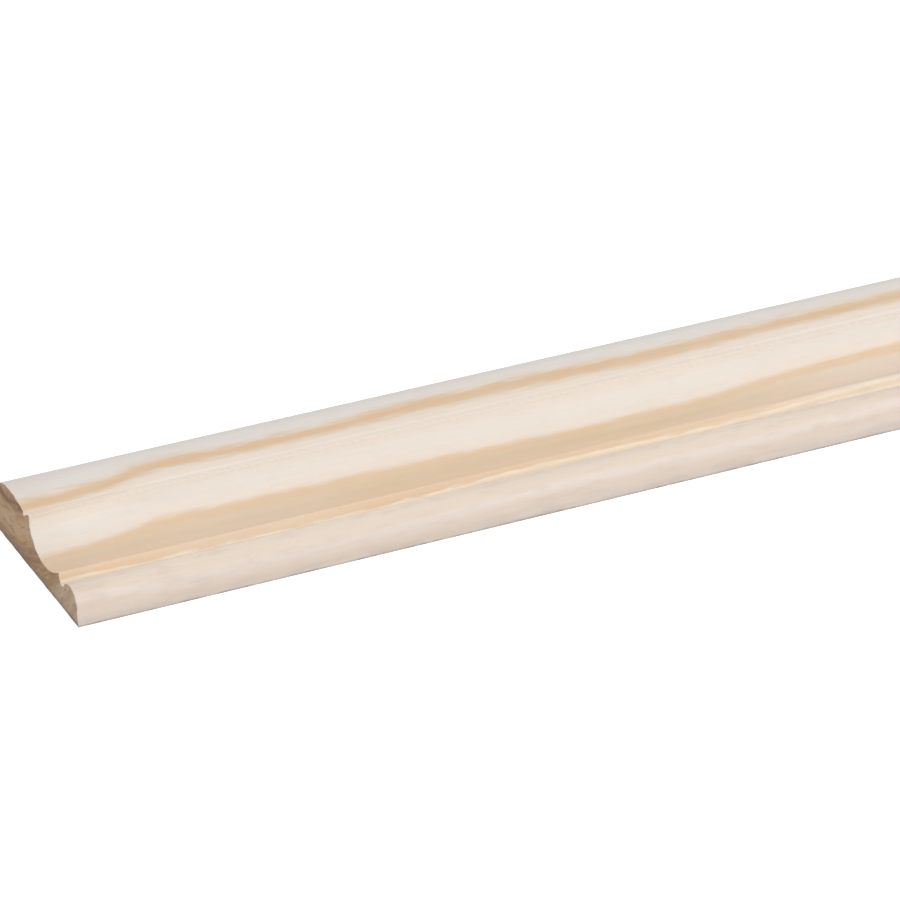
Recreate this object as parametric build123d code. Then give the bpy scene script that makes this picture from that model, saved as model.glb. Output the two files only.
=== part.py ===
from build123d import *
import math
import os

# A decorative pine moulding strip, planed to one section along its whole length.
# The strip lies on its flat back. Its origin is the middle of the back: X runs
# along the strip, Y across it from the thin edge to the thick one, Z up from the back.
# All sizes are in millimetres. In the section, "across" is measured from the thin
# edge and "up" from the back.

# Overall stock
STRIP_LENGTH = 1000.0
STRIP_WIDTH = 45.0
STRIP_THICKNESS = 13.4

# Edge bead, the round that runs along the thin edge
EDGE_BEAD_RADIUS = 4.0
EDGE_BEAD_RISE = 0.2      # its crown above the low lip
EDGE_LEAN_IN = 0.65       # how far the thin edge leans in below the bead

# Low quirk and low lip, between the edge bead and the cove
LOW_QUIRK_WIDTH = 1.4     # its flat floor
LOW_QUIRK_DEPTH = 2.1     # below the low lip
LOW_WALL_RUN = 0.85       # how far the wall leans back from the quirk
LOW_LIP_WIDTH = 0.5

# Cove, the broad hollow
COVE_FLOOR = 5.0          # wood left under its lowest line
COVE_LIP_RISE = 2.4       # the low lip above that line
COVE_NEAR_RUN = 7.7       # from the low lip to the lowest line
COVE_FAR_RUN = 8.0        # from the lowest line to the high wall

# High lip and high quirk, between the cove and the broad bead
HIGH_LIP_DROP = 0.7       # below the crown of the broad bead
HIGH_LIP_WIDTH = 0.7
HIGH_QUIRK_RUN = 2.3      # the slope from the high lip down to the quirk
HIGH_QUIRK_DEPTH = 1.5    # below the high lip
HIGH_QUIRK_WALL = 0.8     # the upright side where the broad bead starts

# Broad bead, which takes what is left of the width, and the nosing of the thick edge
CROWN_INSET = 6.6         # from the thick edge to the highest line
CROWN_FALL_RADIUS = 10.8  # from the highest line towards the thick edge
NOSE_RADIUS = 2.3         # where the fall turns down into the thick edge

# The softened corner along both sides of each lip
ARRIS_RADIUS = 0.2


def edge_bead_points():
    """Where the edge bead's round starts, crowns and ends, as (across, up)."""
    centre_across = EDGE_LEAN_IN + EDGE_BEAD_RADIUS
    centre_up = COVE_FLOOR + COVE_LIP_RISE + EDGE_BEAD_RISE - EDGE_BEAD_RADIUS
    reach = math.hypot(centre_across, centre_up)
    tangent_length = math.sqrt(reach**2 - EDGE_BEAD_RADIUS**2)
    tangent_angle = math.atan2(centre_up, centre_across) + math.asin(EDGE_BEAD_RADIUS / reach)
    start = (tangent_length * math.cos(tangent_angle), tangent_length * math.sin(tangent_angle))
    crown = (centre_across, centre_up + EDGE_BEAD_RADIUS)
    end_up = COVE_FLOOR + COVE_LIP_RISE - LOW_QUIRK_DEPTH
    end_run = math.sqrt(EDGE_BEAD_RADIUS**2 - (end_up - centre_up) ** 2)
    end = (centre_across + end_run, end_up)
    return start, crown, end


def moulded_section():
    """The closed section of the strip, with its thin edge's foot at the sketch's origin."""
    bead_start, bead_crown, bead_end = edge_bead_points()

    low_lip_up = COVE_FLOOR + COVE_LIP_RISE
    low_quirk_end = (bead_end[0] + LOW_QUIRK_WIDTH, bead_end[1])
    low_lip_start = (low_quirk_end[0] + LOW_WALL_RUN, low_lip_up)
    low_lip_end = (low_lip_start[0] + LOW_LIP_WIDTH, low_lip_up)

    high_lip_up = STRIP_THICKNESS - HIGH_LIP_DROP
    cove_lowest = (low_lip_end[0] + COVE_NEAR_RUN, COVE_FLOOR)
    cove_centre = (cove_lowest[0], high_lip_up)
    high_lip_start = (cove_lowest[0] + COVE_FAR_RUN, high_lip_up)
    high_lip_end = (high_lip_start[0] + HIGH_LIP_WIDTH, high_lip_up)

    high_quirk = (high_lip_end[0] + HIGH_QUIRK_RUN, high_lip_up - HIGH_QUIRK_DEPTH)
    broad_start = (high_quirk[0], high_quirk[1] + HIGH_QUIRK_WALL)
    crown = (STRIP_WIDTH - CROWN_INSET, STRIP_THICKNESS)
    fall_sine = (CROWN_INSET - NOSE_RADIUS) / (CROWN_FALL_RADIUS - NOSE_RADIUS)
    fall_angle = math.degrees(math.asin(fall_sine))

    with BuildSketch() as section:
        with BuildLine():
            Line((0, 0), bead_start)
            ThreePointArc(bead_start, bead_crown, bead_end)
            Polyline(bead_end, low_quirk_end, low_lip_start, low_lip_end)
            TangentArc(cove_lowest, low_lip_end, tangent=(-1, 0))
            EllipticalCenterArc(
                cove_centre,
                x_radius=COVE_FAR_RUN,
                y_radius=high_lip_up - COVE_FLOOR,
                start_angle=270,
                arc_size=90,
            )
            Polyline(high_lip_start, high_lip_end, high_quirk, broad_start)
            TangentArc(crown, broad_start, tangent=(-1, 0))
            fall = JernArc(
                crown, tangent=(1, 0), radius=CROWN_FALL_RADIUS, arc_size=-fall_angle
            )
            nose = JernArc(
                fall @ 1, tangent=fall % 1, radius=NOSE_RADIUS, arc_size=fall_angle - 90
            )
            Polyline(nose @ 1, (STRIP_WIDTH, 0), (0, 0))
        make_face()
        lip_corners = (low_lip_start, low_lip_end, high_lip_start, high_lip_end)
        arrises = [
            section.vertices().sort_by_distance(corner)[0] for corner in lip_corners
        ]
        fillet(arrises, ARRIS_RADIUS)
    return section.sketch


def moulding_strip():
    """The section drawn out to the strip's length, centred on the middle of its back."""
    end_plane = Plane(
        origin=(-STRIP_LENGTH / 2, -STRIP_WIDTH / 2, 0), x_dir=(0, 1, 0), z_dir=(1, 0, 0)
    )
    strip = extrude(end_plane * moulded_section(), amount=STRIP_LENGTH)
    strip.label = "moulding_strip"
    return strip


os.makedirs("parts", exist_ok=True)
export_step(moulding_strip(), "parts/moulding_strip.step")
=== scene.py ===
import math
from dataclasses import dataclass

import bpy
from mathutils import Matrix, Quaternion, Vector


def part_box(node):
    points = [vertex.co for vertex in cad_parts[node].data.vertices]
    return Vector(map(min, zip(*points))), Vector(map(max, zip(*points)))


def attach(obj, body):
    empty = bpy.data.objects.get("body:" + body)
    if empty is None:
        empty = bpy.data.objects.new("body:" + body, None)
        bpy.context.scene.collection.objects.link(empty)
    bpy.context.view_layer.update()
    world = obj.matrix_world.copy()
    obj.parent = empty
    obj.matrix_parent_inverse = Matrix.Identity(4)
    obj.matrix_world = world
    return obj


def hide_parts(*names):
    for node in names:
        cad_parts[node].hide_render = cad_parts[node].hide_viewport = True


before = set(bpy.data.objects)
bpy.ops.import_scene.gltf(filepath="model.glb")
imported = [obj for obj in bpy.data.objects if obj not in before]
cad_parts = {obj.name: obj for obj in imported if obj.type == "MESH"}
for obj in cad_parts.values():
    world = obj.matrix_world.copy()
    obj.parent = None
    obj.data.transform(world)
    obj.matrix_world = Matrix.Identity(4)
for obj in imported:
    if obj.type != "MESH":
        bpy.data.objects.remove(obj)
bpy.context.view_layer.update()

# A planed pine moulding strip that lies on its flat back. X runs along the strip, Y from
# its thin edge to its thick one, Z up from the back. In the section, "across" is measured
# from the thin edge and "up" from the back. Blender's sizes are metres, so each size that
# is written in millimetres is multiplied by MM.
MM = 0.001

# The overall stock
strip_low, strip_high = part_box("moulding_strip")
STRIP_LENGTH = strip_high.x - strip_low.x
STRIP_WIDTH = strip_high.y - strip_low.y
STRIP_THICKNESS = strip_high.z - strip_low.z

# The section, in the same sizes as the solid's
EDGE_BEAD_RADIUS = 4.0 * MM
EDGE_BEAD_RISE = 0.2 * MM
EDGE_LEAN_IN = 0.65 * MM
LOW_QUIRK_WIDTH = 1.4 * MM
LOW_QUIRK_DEPTH = 2.1 * MM
LOW_WALL_RUN = 0.85 * MM
LOW_LIP_WIDTH = 0.5 * MM
COVE_FLOOR = 5.0 * MM
COVE_LIP_RISE = 2.4 * MM
COVE_NEAR_RUN = 7.7 * MM
COVE_FAR_RUN = 8.0 * MM
HIGH_LIP_DROP = 0.7 * MM
HIGH_LIP_WIDTH = 0.7 * MM
HIGH_QUIRK_RUN = 2.3 * MM
HIGH_QUIRK_DEPTH = 1.5 * MM
HIGH_QUIRK_WALL = 0.8 * MM
CROWN_INSET = 6.6 * MM
CROWN_FALL_RADIUS = 10.8 * MM
NOSE_RADIUS = 2.3 * MM
LIP_ARRIS = 0.2 * MM
QUIRK_CORNER = 0.12 * MM

# Where the parts of the section meet, up from the back and across from the thin edge
LOW_LIP_UP = COVE_FLOOR + COVE_LIP_RISE
LOW_QUIRK_UP = LOW_LIP_UP - LOW_QUIRK_DEPTH
HIGH_LIP_UP = STRIP_THICKNESS - HIGH_LIP_DROP
BEAD_CENTRE_UP = LOW_LIP_UP + EDGE_BEAD_RISE - EDGE_BEAD_RADIUS
BEAD_END_ANGLE = math.asin((LOW_QUIRK_UP - BEAD_CENTRE_UP) / EDGE_BEAD_RADIUS)
BEAD_END_ACROSS = EDGE_LEAN_IN + EDGE_BEAD_RADIUS * (1 + math.cos(BEAD_END_ANGLE))
LOW_LIP_START_ACROSS = BEAD_END_ACROSS + LOW_QUIRK_WIDTH + LOW_WALL_RUN
LOW_LIP_END_ACROSS = LOW_LIP_START_ACROSS + LOW_LIP_WIDTH
COVE_LOWEST_ACROSS = LOW_LIP_END_ACROSS + COVE_NEAR_RUN
HIGH_LIP_START_ACROSS = COVE_LOWEST_ACROSS + COVE_FAR_RUN
HIGH_LIP_END_ACROSS = HIGH_LIP_START_ACROSS + HIGH_LIP_WIDTH
QUIRK_WALL_ACROSS = HIGH_LIP_END_ACROSS + HIGH_QUIRK_RUN

# How finely the strip is meshed. A corner that is rounded takes away the points that lie
# nearer to it than its cut, times the clearance.
SECTION_STEP = 0.5 * MM
CORNER_STEPS = 4
CORNER_CLEARANCE = 1.2
STATIONS = 420
STATION_CROWDING = 0.62
BACK_COLUMNS = 24
CAP_ROWS = 16

# Where the centre of the tree lies, seen in the section, and three year rings whose way
# along the strip is known. Each pair is a distance from the sawn end and a shift, both in
# millimetres: of the tree's centre across the strip, or of a ring away from that centre.
PITH_ACROSS = 46.0
PITH_UP = 38.0
PITH_LEAN = (
    (0, -5.00), (14, -3.60), (24, -1.60), (34, 0.20), (60, 0.00), (220, 0.00),
    (340, 0.80), (480, -0.60), (640, 0.90), (820, -0.70), (1000, 0.40),
)
STREAK_RADIUS = 27.5
STREAK_PATH = (
    (0, -0.13), (14, 0.09), (34, -0.01), (60, 0.39), (105, -0.04), (150, 0.38),
    (200, 0.12), (290, 0.70), (400, -0.20), (540, 0.80), (680, 0.10), (840, 0.70), (1000, 0.20),
)
BAND_RADIUS = 39.0
BAND_PATH = (
    (0, -0.95), (24, -0.50), (45, -0.05), (80, 0.14), (105, 0.82), (135, 1.42), (155, 1.25),
    (200, -1.15), (290, 0.60), (400, -0.80), (540, 1.20), (680, -0.40), (840, 1.30), (1000, 0.20),
)
LIP_RADIUS = 47.8
LIP_PATH = (
    (0, -5.52), (14, -3.43), (24, -1.20), (34, 0.19), (80, 0.04), (105, -0.80), (130, -0.80),
    (150, -0.45), (200, -1.54), (290, 0.20), (400, -1.00), (540, 0.40), (700, -0.90),
    (840, 0.30), (1000, -0.40),
)
PATH_LIMIT = 6.0
# How far the edge of a ring runs in and out along its fibres, in millimetres
RING_FRAY = 0.42
# How strong the broad band's tan is along the strip, from 0 to 1
BAND_STRENGTH = (
    (0, 0.94), (24, 0.86), (50, 0.80), (85, 1.00), (120, 1.00), (150, 0.94), (180, 0.72),
    (205, 0.48), (290, 0.90), (400, 0.70), (540, 1.00), (680, 0.75), (840, 0.95), (1000, 0.80),
)


@dataclass
class Ring:
    """The dark late wood of one year: where it begins, is full, fades and is gone, in
    millimetres from the pith, how dark and how amber it is, and whether its strength
    follows the broad band's along the strip or weakens further on."""

    begins: float
    full: float
    fades: float
    gone: float
    darkness: float
    amber: float
    follows_band: bool = False
    weakens: bool = False


RINGS = (
    Ring(25.90, 27.30, 27.70, 29.50, darkness=1.00, amber=1.00),
    Ring(37.85, 39.65, 40.30, 42.50, darkness=0.92, amber=0.45),
    Ring(38.20, 41.20, 47.50, 48.70, darkness=0.95, amber=0.15, follows_band=True),
    Ring(
        45.60, 46.80, 48.10, 48.80, darkness=0.95, amber=0.10, follows_band=True, weakens=True
    ),
    Ring(48.60, 50.30, 50.60, 52.20, darkness=0.14, amber=0.10),
    Ring(52.40, 54.20, 54.60, 56.00, darkness=0.20, amber=0.15),
    Ring(56.20, 57.60, 58.20, 59.40, darkness=0.24, amber=0.20),
)
# Where along the strip a ring that weakens starts to do so and how far on it has, both in
# millimetres, and the share of its strength that is left
WEAKENS_FROM = 95.0
WEAKENED_AT = 150.0
WEAKENED_SHARE = 0.70
# How far a ring wanders from its course, in millimetres
RING_WANDER = 0.28

# The values between which most of a noise lies, and most of the fine lines
NOISE_RANGE = (0.3, 0.7)
LINE_RANGE = (0.25, 0.75)
# How many clouds of each noise go to a millimetre, along the strip, across it and up
WANDER_CLOUDS = (0.028, 0.09, 0.09)
FRAY_CLOUDS = (0.16, 1.1, 1.1)
CHIP_CLOUDS = (0.42, 0.7, 0.7)
WEAR_CLOUDS = (0.8, 0.8, 0.8)
FUZZ_CLOUDS = (2.0, 2.2, 2.2)
DUCT_CLOUDS = (0.22, 2.6, 2.6)
BROAD_CLOUDS = (0.05, 0.16, 0.16)
PATCH_CLOUDS = (0.17, 0.55, 0.55)
LOWER_SHADE_CLOUDS = (0.12, 0.5, 0.9)
FOOT_LINE_CLOUDS = (0.35, 0.35, 0.9)
# The same for the fine lines between rings, along and out from the pith, for the torn
# fibres, across and out from the pith, and for the tooth marks, out from the blade's centre
LINE_CLOUDS = (0.012, 1.9)
TEAR_CLOUDS = (0.26, 0.95)
TOOTH_CLOUDS = 1.4


def srgb(red, green, blue):
    """A colour written as a screen shows it, from 0 to 255, as a linear colour."""
    parts = []
    for value in (red, green, blue):
        share = value / 255
        parts.append(share / 12.92 if share <= 0.04045 else ((share + 0.055) / 1.055) ** 2.4)
    return (*parts, 1.0)


# Colours of the planed faces and of the sawn ends. A pair is a distance from the tree's
# centre in millimetres, between FROM_PITH and TO_PITH, and the colour of the wood there.
# A few planed stops are lighter than the wood, as painted light where the section is shaded.
FROM_PITH = 24.0
TO_PITH = 60.0
PALE_WOOD = (
    (24.2, srgb(233, 220, 208)),
    (25.2, srgb(236, 230, 223)),
    (26.5, srgb(236, 228, 217)),
    (28.6, srgb(238, 227, 213)),
    (30.0, srgb(240, 227, 211)),
    # partly painted light: these pale stops at the high lip hide the shaded quirk's line
    (30.7, srgb(243, 234, 221)),
    (31.7, srgb(241, 233, 223)),
    (34.0, srgb(235, 231, 223)),
    (35.4, srgb(233, 228, 219)),
    (37.0, srgb(235, 226, 215)),
    (46.2, srgb(236, 225, 213)),
    (47.3, srgb(246, 236, 224)),
    (48.6, srgb(244, 234, 216)),
    (49.5, srgb(231, 218, 198)),
    # painted light on the edge bead's shoulder, which faces away from the key light
    (50.5, srgb(255, 242, 224)),
    (51.6, srgb(239, 224, 206)),
    (53.6, srgb(234, 220, 205)),
    (56.0, srgb(236, 223, 211)),
)
LATE_WOOD = (
    (42.6, srgb(225, 201, 167)),
    # painted light: lighter stops for the cove beside the low lip, which lies in shade
    (45.2, srgb(247, 215, 180)),
    (46.0, srgb(247, 215, 180)),
    (46.8, srgb(232, 204, 172)),
    (47.8, srgb(226, 198, 166)),
    (50.0, srgb(230, 201, 168)),
)
BLUSH = srgb(214, 194, 184)
AMBER_WOOD = srgb(227, 193, 155)
LINE_WOOD = srgb(230, 201, 168)
FIBRE_BROWN = srgb(205, 175, 140)
# Painted light on the lips: two pales and a warm tint that lighten shaded parts
QUIRK_WALL_LIGHT = srgb(238, 233, 229)
LOW_LIP_LIGHT = srgb(255, 246, 234)
HIGH_LIP_WARM_LIGHT = srgb(244, 226, 203)
# Painted shade towards the foot: a soft darkening, and a dark line at the very foot
EDGE_SHADE = srgb(176, 162, 146)
FOOT_SHADE = srgb(116, 112, 108)
SAWN_WOOD = (
    (29.0, srgb(204, 169, 130)),
    (33.0, srgb(222, 189, 152)),
    (36.0, srgb(206, 171, 132)),
    (37.8, srgb(176, 142, 110)),
    (39.6, srgb(200, 165, 127)),
    (48.0, srgb(208, 174, 136)),
    (50.5, srgb(221, 195, 163)),
)
SAWN_LATE = srgb(192, 156, 117)
SAWN_DARK = srgb(150, 114, 84)
SAWN_FUZZ = srgb(222, 194, 160)


class NodeSheet:
    """Adds nodes to one tree and wires them, so that a pattern reads as a formula."""

    def __init__(self, tree):
        self.tree = tree

    def feed(self, socket, value):
        """Links a socket to another one, or sets its value."""
        if isinstance(value, bpy.types.NodeSocket):
            self.tree.links.new(value, socket)
        else:
            socket.default_value = value

    def add(self, kind, inputs=None, **settings):
        """A new node, with its settings made and the inputs given fed."""
        node = self.tree.nodes.new(kind)
        for name, value in settings.items():
            setattr(node, name, value)
        for key, value in (inputs or {}).items():
            self.feed(node.inputs[key], value)
        return node

    def math(self, operation, first, second=0.0, third=0.0):
        inputs = {0: first, 1: second, 2: third}
        return self.add("ShaderNodeMath", inputs, operation=operation).outputs[0]

    def plus(self, first, *others):
        for other in others:
            first = self.math("ADD", first, other)
        return first

    def minus(self, first, second):
        return self.math("SUBTRACT", first, second)

    def times(self, first, *others):
        for other in others:
            first = self.math("MULTIPLY", first, other)
        return first

    def divided(self, first, second):
        return self.math("DIVIDE", first, second)

    def vector(self, operation, first, second=(0.0, 0.0, 0.0)):
        inputs = {0: first, 1: second}
        return self.add("ShaderNodeVectorMath", inputs, operation=operation).outputs[0]

    def position(self):
        """Where each point of the mesh is."""
        return self.add("GeometryNodeInputPosition").outputs[0]

    def split(self, vector):
        return self.add("ShaderNodeSeparateXYZ", {0: vector}).outputs

    def joined(self, x, y, z):
        return self.add("ShaderNodeCombineXYZ", {0: x, 1: y, 2: z}).outputs[0]

    def ramp(self, value, start, end, low=0.0, high=1.0):
        """Goes smoothly from low to high as the value goes from start to end."""
        return self.spread(value, start, end, low, high, interpolation_type="SMOOTHSTEP")

    def spread(self, value, start, end, low, high, **settings):
        """Goes evenly from low to high as the value goes from start to end."""
        inputs = {0: value, 1: start, 2: end, 3: low, 4: high}
        return self.add("ShaderNodeMapRange", inputs, **settings).outputs[0]

    def between(self, value, begins, full, fades, gone):
        """1 from full to fades, and smoothly down to 0 at begins and at gone."""
        risen = self.ramp(value, begins, full)
        fallen = self.ramp(value, fades, gone, 1.0, 0.0)
        return self.times(risen, fallen)

    def distance(self, side, rise):
        """How far a point is that lies so far to the side and so far up."""
        squares = self.plus(self.times(side, side), self.times(rise, rise))
        return self.math("SQRT", squares)

    def noise(self, place, detail=2.0, roughness=0.5):
        """Cloudy noise from 0 to 1, one cloud to each unit of the place."""
        inputs = {"Vector": place, "Scale": 1.0, "Detail": detail, "Roughness": roughness}
        return self.add("ShaderNodeTexNoise", inputs).outputs[0]

    def clouds(self, place_mm, per_mm, detail=2.0, roughness=0.5):
        """Cloudy noise with so many clouds to a millimetre along, across and up."""
        return self.noise(self.vector("MULTIPLY", place_mm, per_mm), detail, roughness)

    def mix(self, share, first, second):
        """The first number at a share of 0, the second at 1."""
        inputs = {0: share, 2: first, 3: second}
        return self.add("ShaderNodeMix", inputs, data_type="FLOAT").outputs[0]

    def tint(self, share, first, second):
        """The first colour at a share of 0, the second at 1."""
        inputs = {0: share, 6: first, 7: second}
        return self.add("ShaderNodeMix", inputs, data_type="RGBA").outputs[2]

    def layered(self, colour, *layers):
        """The colour under its layers, each a share and a colour of its own."""
        for share, shade in layers:
            colour = self.tint(share, colour, shade)
        return colour

    def shades(self, radius, stops):
        """The colour that the stops give at a distance from the pith, in millimetres."""
        share = self.spread(radius, FROM_PITH, TO_PITH, 0.0, 1.0)
        node = self.add("ShaderNodeValToRGB", {0: share})
        elements = node.color_ramp.elements
        while len(elements) < len(stops):
            elements.new(1.0)
        for element, (at, colour) in zip(elements, stops):
            element.position = (at - FROM_PITH) / (TO_PITH - FROM_PITH)
            element.color = colour
        return node.outputs[0]

    def curve(self, along, pairs, limit):
        """A smooth curve through pairs, from one end of the strip to the other, in
        millimetres; the result lies between minus and plus limit."""
        reach = STRIP_LENGTH / MM
        node = self.add("ShaderNodeFloatCurve", {1: self.divided(along, reach)})
        line = node.mapping.curves[0]
        while len(line.points) < len(pairs):
            line.points.new(0.5, 0.5)
        for point, (at, shift) in zip(line.points, pairs):
            point.location = (at / reach, 0.5 + 0.5 * shift / limit)
        node.mapping.update()
        return self.times(self.minus(node.outputs[0], 0.5), 2 * limit)


def in_scene(name, data):
    """A new object that holds the data and is in the scene."""
    thing = bpy.data.objects.new(name, data)
    bpy.context.scene.collection.objects.link(thing)
    return thing


def blank_sheet(owner):
    """A sheet over a material's or the world's own tree, emptied."""
    owner.use_nodes = True
    owner.node_tree.nodes.clear()
    return NodeSheet(owner.node_tree)


def in_millimetres(sheet, place):
    """A place in the row frame as distances from the sawn end and from the section's foot."""
    corner = (STRIP_LENGTH / 2, STRIP_WIDTH / 2, 0.0)
    moved = sheet.vector("ADD", place, corner)
    return sheet.vector("DIVIDE", moved, (MM, MM, MM))


def from_nearer_end(sheet, along):
    """How far wood lies from the nearer end of the strip, in millimetres."""
    return sheet.math("MINIMUM", along, sheet.minus(STRIP_LENGTH / MM, along))


def ring_radius(sheet, place_mm):
    """The distance from the pith that this wood had in a straight tree, in millimetres."""
    along, across, up = sheet.split(place_mm)
    paths = (PITH_LEAN, STREAK_PATH, BAND_PATH, LIP_PATH)
    lean, streak, band, lip = [sheet.curve(along, path, PATH_LIMIT) for path in paths]
    side = sheet.minus(sheet.minus(across, PITH_ACROSS), lean)
    radius = sheet.distance(side, sheet.minus(up, PITH_UP))
    to_band = sheet.spread(radius, STREAK_RADIUS, BAND_RADIUS, 0.0, 1.0)
    to_lip = sheet.spread(radius, BAND_RADIUS, LIP_RADIUS, 0.0, 1.0)
    shift = sheet.mix(to_lip, sheet.mix(to_band, streak, band), lip)
    wander_noise = sheet.clouds(place_mm, WANDER_CLOUDS, detail=3.0)
    wander = sheet.spread(wander_noise, 0.0, 1.0, -RING_WANDER, RING_WANDER)
    return sheet.plus(sheet.minus(radius, shift), wander)


def growth_rings(sheet, place_mm):
    """How dark and how amber the wood is, its fine lines, and its distance from the pith."""
    radius = ring_radius(sheet, place_mm)
    along = sheet.split(place_mm)[0]
    strength = sheet.curve(along, BAND_STRENGTH, 1.0)
    weakness = sheet.ramp(along, WEAKENS_FROM, WEAKENED_AT, 1.0, WEAKENED_SHARE)
    fray_noise = sheet.clouds(place_mm, FRAY_CLOUDS, detail=3.0)
    fray = sheet.spread(fray_noise, *LINE_RANGE, -RING_FRAY, RING_FRAY)
    frayed = sheet.plus(radius, fray)
    darkness = 0.0
    amber = 0.0
    for ring in RINGS:
        here = sheet.between(frayed, ring.begins, ring.full, ring.fades, ring.gone)
        if ring.follows_band:
            here = sheet.times(here, strength)
        if ring.weakens:
            here = sheet.times(here, weakness)
        darkness = sheet.math("MAXIMUM", darkness, sheet.times(here, ring.darkness))
        amber = sheet.math("MAXIMUM", amber, sheet.times(here, ring.amber))
    line_along = sheet.times(along, LINE_CLOUDS[0])
    line_place = sheet.joined(line_along, sheet.times(radius, LINE_CLOUDS[1]), 0.0)
    lines = sheet.noise(line_place, detail=4.0, roughness=0.62)
    return {"Darkness": darkness, "Amber": amber, "Lines": lines, "Radius": radius}


# The blade's centre, in millimetres out from the thin edge and down from the back
SAW_CENTRE_OUT = 40.0
SAW_CENTRE_DOWN = 118.0


def saw_marks(sheet, place_mm):
    """The tooth marks that a saw blade left over a sawn end, from 0 to 1."""
    across, up = sheet.split(place_mm)[1:]
    side = sheet.plus(across, SAW_CENTRE_OUT)
    reach = sheet.distance(side, sheet.plus(up, SAW_CENTRE_DOWN))
    mark_place = sheet.joined(sheet.times(reach, TOOTH_CLOUDS), 0.0, 0.0)
    return sheet.noise(mark_place, detail=3.0, roughness=0.6)


def torn_fibres(sheet, place_mm):
    """Where the saw has pulled up strands of a sawn end along its rings, from 0 to 1."""
    across = sheet.split(place_mm)[1]
    radius = ring_radius(sheet, place_mm)
    tear_across = sheet.times(across, TEAR_CLOUDS[0])
    tear_place = sheet.joined(tear_across, sheet.times(radius, TEAR_CLOUDS[1]), 0.0)
    return sheet.noise(tear_place, detail=3.0, roughness=0.65)


# The section's outline

def straight(start, end):
    """Points from start to end, a section step apart."""
    start, end = Vector(start), Vector(end)
    steps = max(1, round((end - start).length / SECTION_STEP))
    return [start.lerp(end, step / steps) for step in range(steps + 1)]


def turned(centre, radius, first, last, rise=None):
    """Points on a round stretch about a centre, from one angle to another, in radians. The
    rise is its radius upward, where that isn't the one across."""
    radii = (radius, rise or radius)
    steps = max(2, math.ceil(abs(last - first) * max(radii) / SECTION_STEP))
    points = []
    for step in range(steps + 1):
        angle = first + (last - first) * step / steps
        offset = (radii[0] * math.cos(angle), radii[1] * math.sin(angle))
        points.append(Vector((centre[0] + offset[0], centre[1] + offset[1])))
    return points


def round_between(start, end):
    """The circle that passes through start and end and is level at end: its centre, its
    radius and the angle between the two."""
    run = abs(end[0] - start[0])
    rise = start[1] - end[1]
    radius = (run * run + rise * rise) / (2 * abs(rise))
    centre = (end[0], end[1] + math.copysign(radius, rise))
    return centre, radius, math.asin(run / radius)


def softened(before, after, radius):
    """Replaces the corner between two runs of points by a small round. Gives back what is
    left of the first run, the round without its last point, and the second run from there."""
    corner = before[-1]
    into = (corner - before[-2]).normalized()
    out = (after[1] - corner).normalized()
    turn = into.angle(out)
    cut = radius * math.tan(turn / 2)
    clear = cut * CORNER_CLEARANCE
    kept_before = [point for point in before if (point - corner).length > clear]
    kept_after = [point for point in after if (point - corner).length > clear]
    start = corner - into * cut
    end = corner + out * cut
    middle = (start + end) / 2
    inward = (middle - corner).normalized()
    centre = corner + inward * (radius / math.cos(turn / 2))
    spokes = (start - centre, end - centre)
    rounded = []
    for step in range(CORNER_STEPS + 1):
        share = step / CORNER_STEPS
        spoke = spokes[0].lerp(spokes[1], share).normalized() * radius
        rounded.append(centre + spoke)
    return kept_before, rounded[:-1], rounded[-1:] + kept_after


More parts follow.
